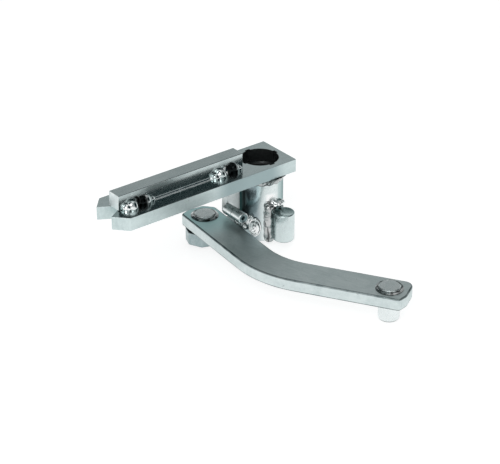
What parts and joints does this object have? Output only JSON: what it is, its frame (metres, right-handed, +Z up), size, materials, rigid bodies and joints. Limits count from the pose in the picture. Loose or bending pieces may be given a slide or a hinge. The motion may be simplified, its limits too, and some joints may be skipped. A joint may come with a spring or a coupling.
{
  "type": "gate opener arm",
  "caption": "Zinc-plated lever of an underground swing-gate operator: a leaf plate welded on a hub tube, a short lower arm, and a cranked link on a pivot pin with a drive pin at its end.",
  "frame": {"origin": "on the hub's axis, at the hub tube's lower end", "axes": "+Z up along the hub's axis, from the tube to the leaf plate; the leaf plate runs from the hub along -X; +Y away from the link's drive pin, so the link runs towards -Y"},
  "size_m": [0.2088, 0.2536, 0.1007],
  "materials": {
    "zinc_steel": "bright zinc plating",
    "zinc_steel_link": "zinc plating, slightly mottled",
    "zinc_weld": "glossy zinc over weld beads",
    "bush_plastic": "matt black",
    "bush_bronze": "satin",
    "spring_steel": "blackened"
  },
  "bodies": {
    "lever": {"leaf_plate": "zinc_steel", "leaf_bar": "zinc_steel", "bar_weld_front_tip": "zinc_weld", "bar_weld_front_hub": "zinc_weld", "bar_weld_back_tip": "zinc_weld", "bar_weld_back_hub": "zinc_weld", "hub_tube": "zinc_steel", "hub_bush_upper": "bush_plastic", "hub_bush_lower": "bush_plastic", "plate_weld": "zinc_weld", "lower_arm": "zinc_steel", "arm_weld_top": "zinc_weld", "arm_weld_front": "zinc_weld", "arm_weld_back": "zinc_weld", "stop_stub": "zinc_steel", "stub_weld_left": "zinc_weld", "stub_weld_right": "zinc_weld", "stub_weld_top": "zinc_weld", "stop_lug": "zinc_steel", "stop_sleeve": "zinc_steel", "pivot_pin": "zinc_steel", "pivot_clip": "spring_steel", "thrust_washer": "bush_bronze"},
    "link": {"link_plate": "zinc_steel_link", "link_bush": "bush_bronze", "pivot_washer": "zinc_steel", "drive_pin": "zinc_steel", "drive_collar": "zinc_steel"},
    "stop_screw": {"stop_screw": "zinc_steel"}
  },
  "joints": [
    {"name": "link_pivot", "type": "hinge", "parent": "lever", "child": "link", "pos_m": [-0.05295, 0.02001, 0.0202], "axis": [0, 0, 1], "range_deg": [-228, 22]},
    {"name": "stop_travel", "type": "slide", "parent": "lever", "child": "stop_screw", "axis": [0, -1, 0], "range_m": [0, 0.008]}
  ]
}
